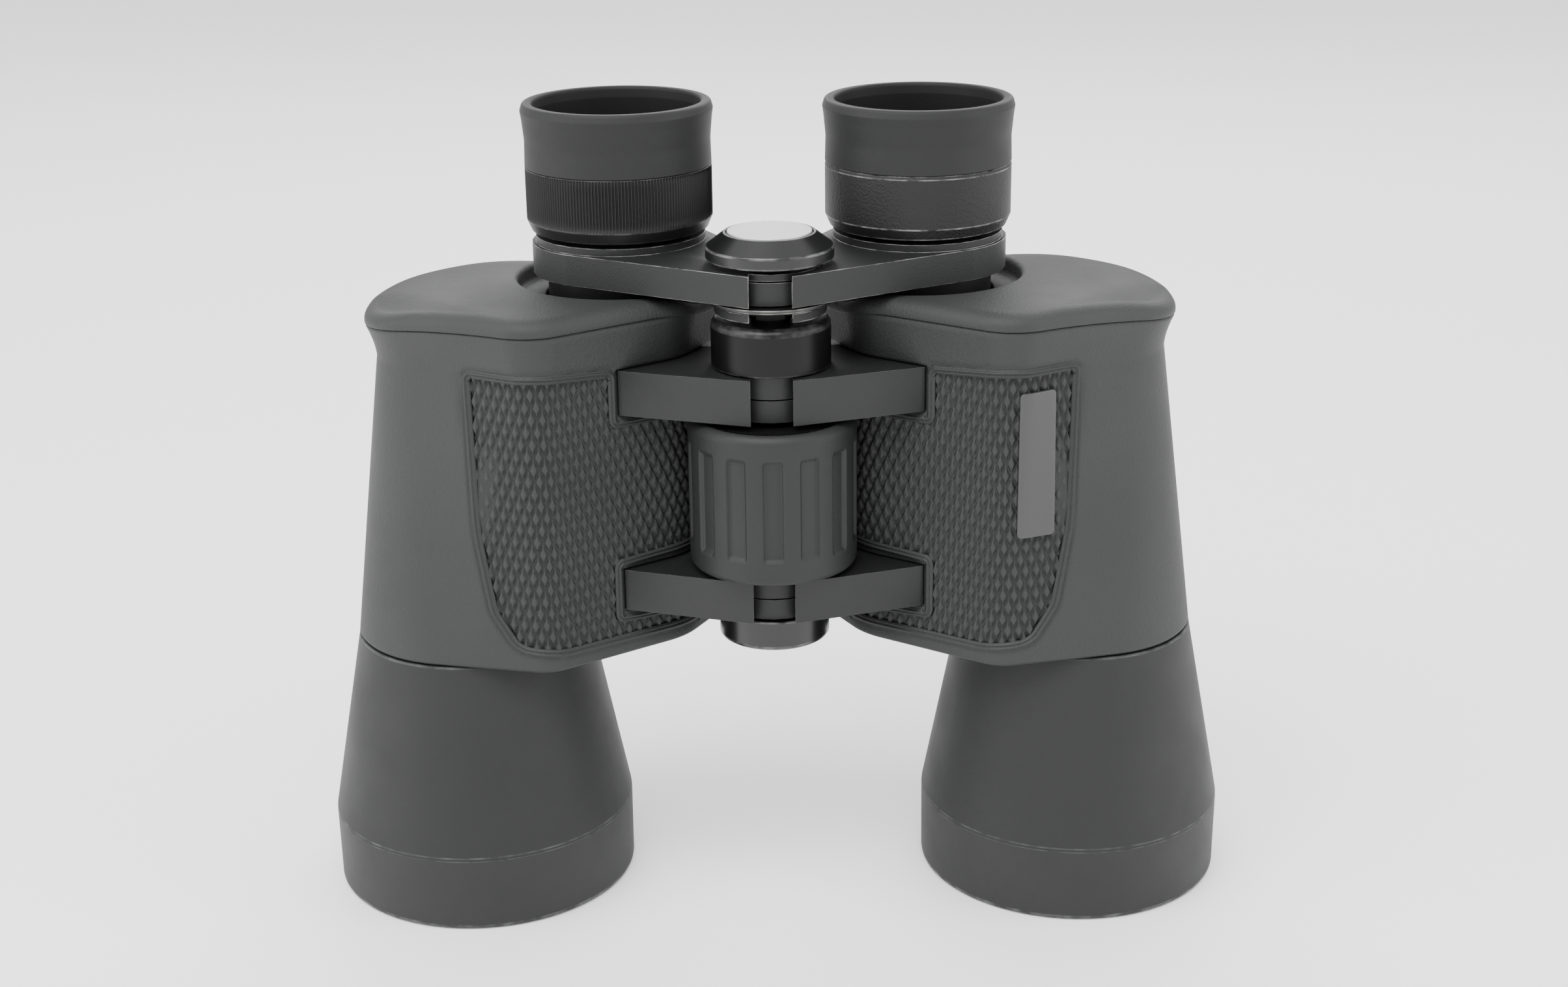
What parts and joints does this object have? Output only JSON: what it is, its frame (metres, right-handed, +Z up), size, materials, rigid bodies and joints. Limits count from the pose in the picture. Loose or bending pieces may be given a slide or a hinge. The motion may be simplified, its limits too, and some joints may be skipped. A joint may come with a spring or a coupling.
{
  "type": "binoculars",
  "caption": "Porro prism binoculars with wide objective barrels, central focus wheel, folding hinge and soft eyecups.",
  "frame": {"origin": "centre of the bounding box at the bottom: on the surface the two objective rims stand on, midway between the objective axes", "axes": "+Z up along the optical axes towards the eyepieces; +X from the left half to the right half as seen from the hinge side; the hinge side faces -Y"},
  "size_m": [0.1928, 0.0644, 0.1665],
  "materials": {
    "armour_rubber": "fine-grained matte black rubber armour",
    "barrel_paint": "smooth matte black paint over aluminium",
    "satin_casting": "satin black enamel over die-cast aluminium, edges slightly worn",
    "gloss_black": "glossy black",
    "cup_rubber": "smooth matte black rubber",
    "grip_rubber": "matte dark grey rubber",
    "inner_black": "matte black",
    "ring_plastic": "ribbed or stippled matte black",
    "coated_glass": "polished, coated optical glass",
    "prism_glass": "polished optical glass",
    "bright_steel": "turned steel",
    "brass": "turned brass",
    "silver_label": "satin silver, blank",
    "plate_black": "satin dark grey, blank"
  },
  "bodies": {
    "left_half": {"left_housing": "satin_casting", "left_armour": "armour_rubber", "left_prism_cover": "armour_rubber", "left_objective_barrel": "barrel_paint", "left_objective_rim": "barrel_paint", "left_objective_cell": "inner_black", "left_lens_retainer": "inner_black", "left_objective_lens": "coated_glass", "left_objective_rear_lens": "coated_glass", "left_prism_shelf": "bright_steel", "left_upper_prism": "prism_glass", "left_lower_prism": "prism_glass", "left_prism_strap": "bright_steel", "lower_hinge_pin": "bright_steel", "tripod_insert": "brass", "upper_hinge_bush": "bright_steel", "hinge_collar": "gloss_black"},
    "right_half": {"right_housing": "satin_casting", "right_armour": "armour_rubber", "right_prism_cover": "armour_rubber", "right_objective_barrel": "barrel_paint", "right_objective_rim": "barrel_paint", "right_objective_cell": "inner_black", "right_lens_retainer": "inner_black", "right_objective_lens": "coated_glass", "right_objective_rear_lens": "coated_glass", "right_prism_shelf": "bright_steel", "right_upper_prism": "prism_glass", "right_lower_prism": "prism_glass", "right_prism_strap": "bright_steel", "grip_plate": "plate_black"},
    "focus_wheel": {"focus_wheel_core": "inner_black", "focus_wheel_grip": "grip_rubber"},
    "left_bridge": {"left_bridge_arm": "satin_casting", "left_eyepiece_tube": "inner_black", "left_field_lens": "coated_glass", "focus_screw": "bright_steel", "bridge_nut": "satin_casting", "bridge_washer": "bright_steel", "hinge_cap": "gloss_black", "cap_label": "silver_label"},
    "right_bridge": {"right_bridge_arm": "satin_casting", "right_eyepiece_tube": "inner_black", "right_field_lens": "coated_glass", "right_eyepiece_cell": "inner_black", "right_eye_lens": "coated_glass", "right_eyepiece_ring": "ring_plastic", "right_eyecup": "cup_rubber"},
    "dioptre_carrier": {"left_eyepiece_cell": "inner_black", "left_eye_lens": "coated_glass"},
    "dioptre_ring": {"left_dioptre_ring": "ring_plastic", "left_eyecup": "cup_rubber"},
    "tripod_cap_carrier": {"tripod_cap": "gloss_black"}
  },
  "joints": [
    {"name": "fold", "type": "hinge", "parent": "left_half", "child": "right_half", "pos_m": [0, -0.015, 0.09], "axis": [0, 0, -1], "range_deg": [-9, 34]},
    {"name": "focus_turn", "type": "hinge", "parent": "left_half", "child": "focus_wheel", "pos_m": [0, -0.015, 0.09], "axis": [0, 0, 1], "range_deg": [-30, 300]},
    {"name": "left_bridge_slide", "type": "slide", "parent": "left_half", "child": "left_bridge", "axis": [0, 0, 1], "range_m": [-0.00066, 0.00666]},
    {"name": "right_bridge_slide", "type": "slide", "parent": "right_half", "child": "right_bridge", "axis": [0, 0, 1], "range_m": [-0.0007, 0.0068]},
    {"name": "dioptre_travel", "type": "slide", "parent": "left_bridge", "child": "dioptre_carrier", "axis": [0, 0, 1], "range_m": [-0.00066, 0.00066]},
    {"name": "dioptre_turn", "type": "hinge", "parent": "dioptre_carrier", "child": "dioptre_ring", "pos_m": [-0.03065, 0.009, 0.148], "axis": [0, 0, 1], "range_deg": [-30, 30]},
    {"name": "tripod_cap_unscrew", "type": "slide", "parent": "left_half", "child": "tripod_cap_carrier", "axis": [0, 0, -1], "range_m": [0, 0.0065]}
  ],
  "couplings": [
    {"joint": "focus_turn", "follows": "left_bridge_slide", "rad_per_m": 785.4},
    {"joint": "right_bridge_slide", "follows": "left_bridge_slide", "ratio": 1},
    {"joint": "dioptre_turn", "follows": "dioptre_travel", "rad_per_m": 785.4}
  ]
}
